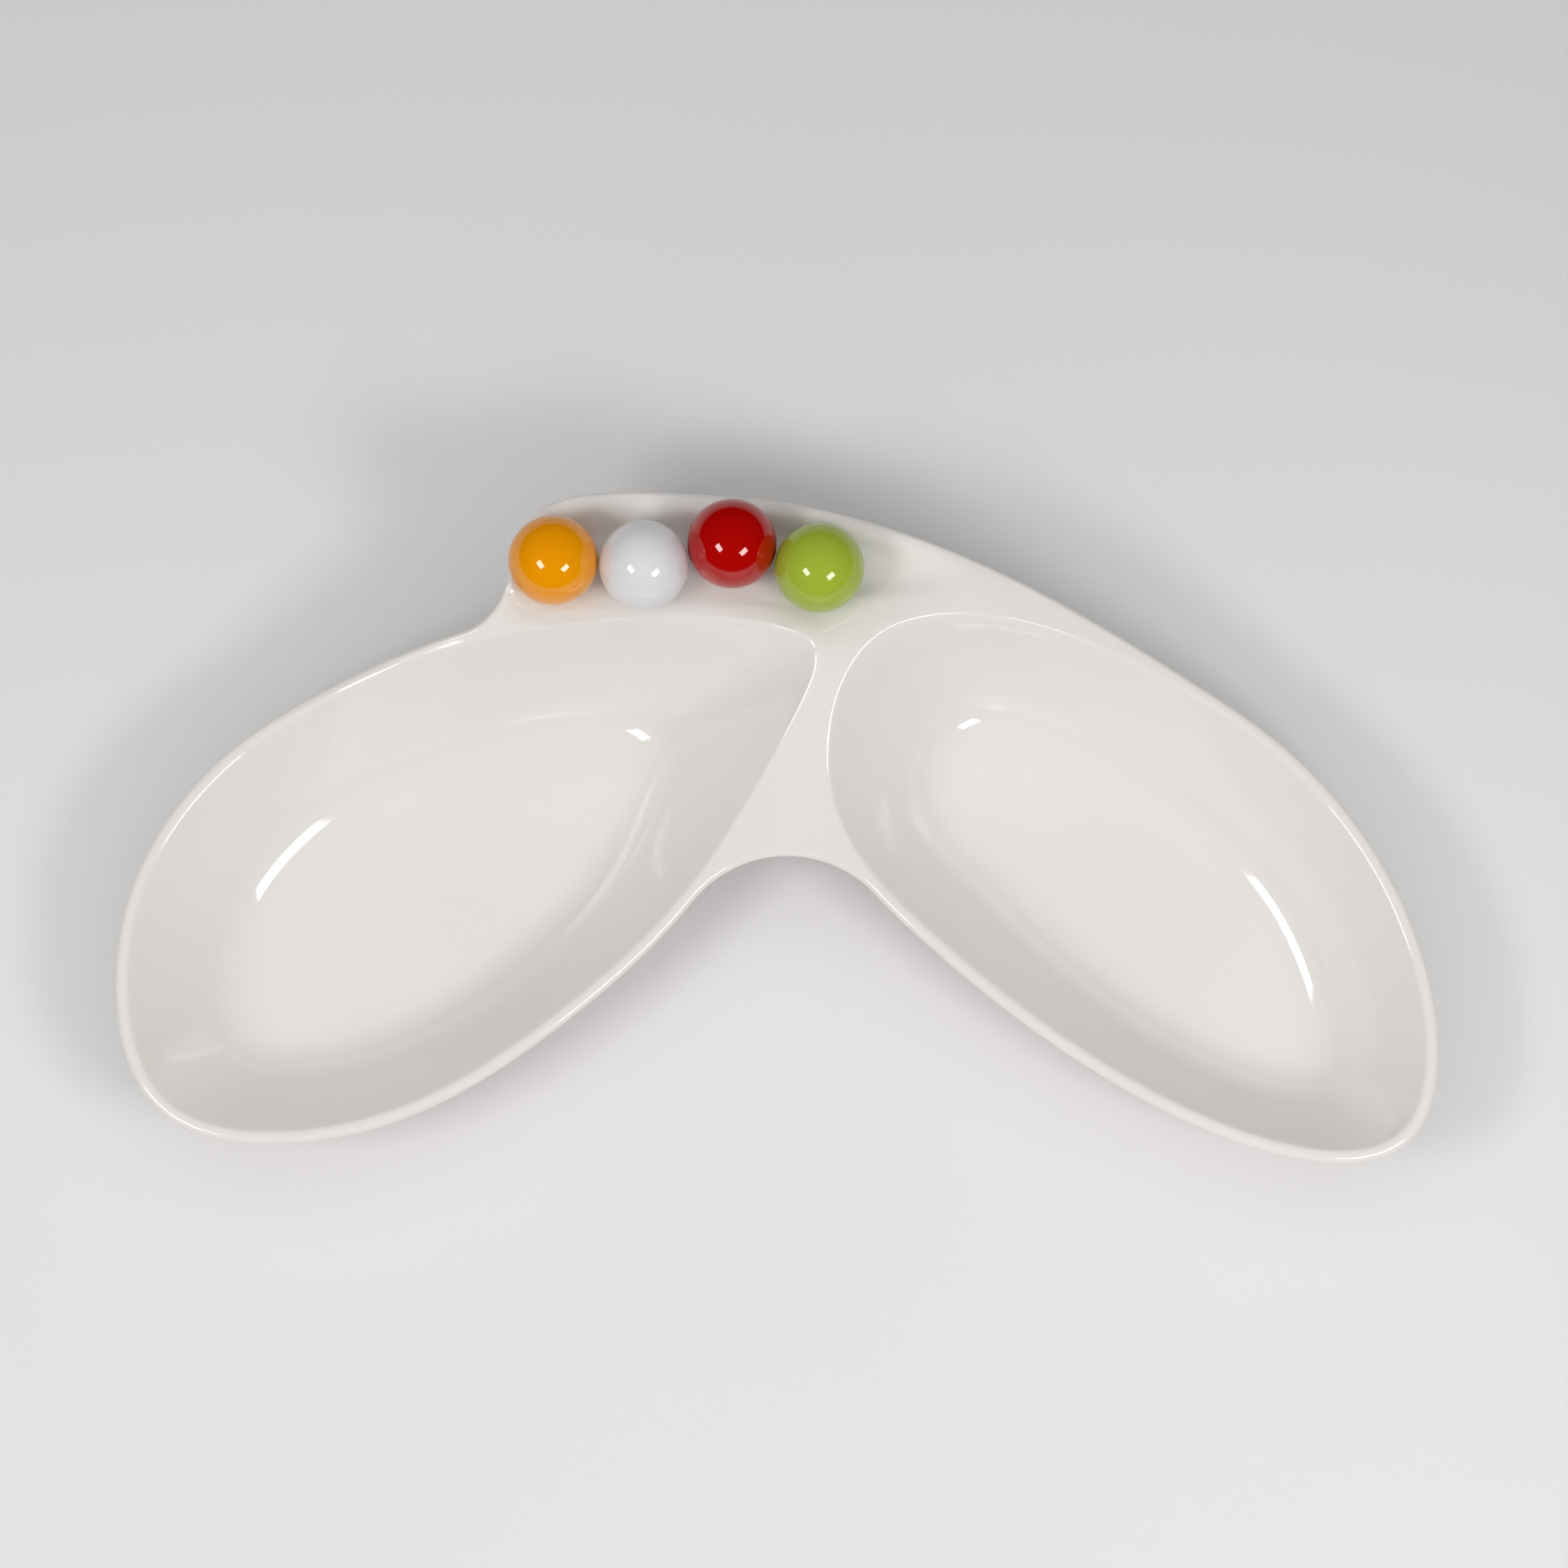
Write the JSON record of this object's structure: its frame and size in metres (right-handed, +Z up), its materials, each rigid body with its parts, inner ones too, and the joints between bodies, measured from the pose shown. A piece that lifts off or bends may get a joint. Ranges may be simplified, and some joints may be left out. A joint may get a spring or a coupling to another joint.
{
  "type": "serving bowl",
  "caption": "Glazed ceramic serving bowl with leaf-shaped lobes joined at an angle by a bridge, and a back trough that holds loose coloured balls.",
  "frame": {"origin": "on the table under the middle of the dish's outline", "axes": "+X across the dish towards the right lobe, +Y from the open front between the lobes to the trough at the back, +Z up"},
  "size_m": [0.4432, 0.224, 0.0893],
  "materials": {
    "dish_glaze": null,
    "orange_glaze": "gloss orange glaze",
    "white_glaze": "gloss cool white glaze",
    "red_glaze": "gloss deep red glaze",
    "green_glaze": "gloss yellow-green glaze"
  },
  "bodies": {
    "dish": {"dish": "dish_glaze"},
    "orange_ball": {"orange_ball": "orange_glaze"},
    "white_ball": {"white_ball": "white_glaze"},
    "red_ball": {"red_ball": "red_glaze"},
    "green_ball": {"green_ball": "green_glaze"}
  },
  "joints": [
    {"name": "orange_ball_lift", "type": "slide", "parent": "dish", "child": "orange_ball", "axis": [0, 0, 1], "range_m": [0, 0.06]},
    {"name": "white_ball_lift", "type": "slide", "parent": "dish", "child": "white_ball", "axis": [0, 0, 1], "range_m": [0, 0.06]},
    {"name": "red_ball_lift", "type": "slide", "parent": "dish", "child": "red_ball", "axis": [0, 0, 1], "range_m": [0, 0.06]},
    {"name": "green_ball_lift", "type": "slide", "parent": "dish", "child": "green_ball", "axis": [0, 0, 1], "range_m": [0, 0.06]}
  ]
}
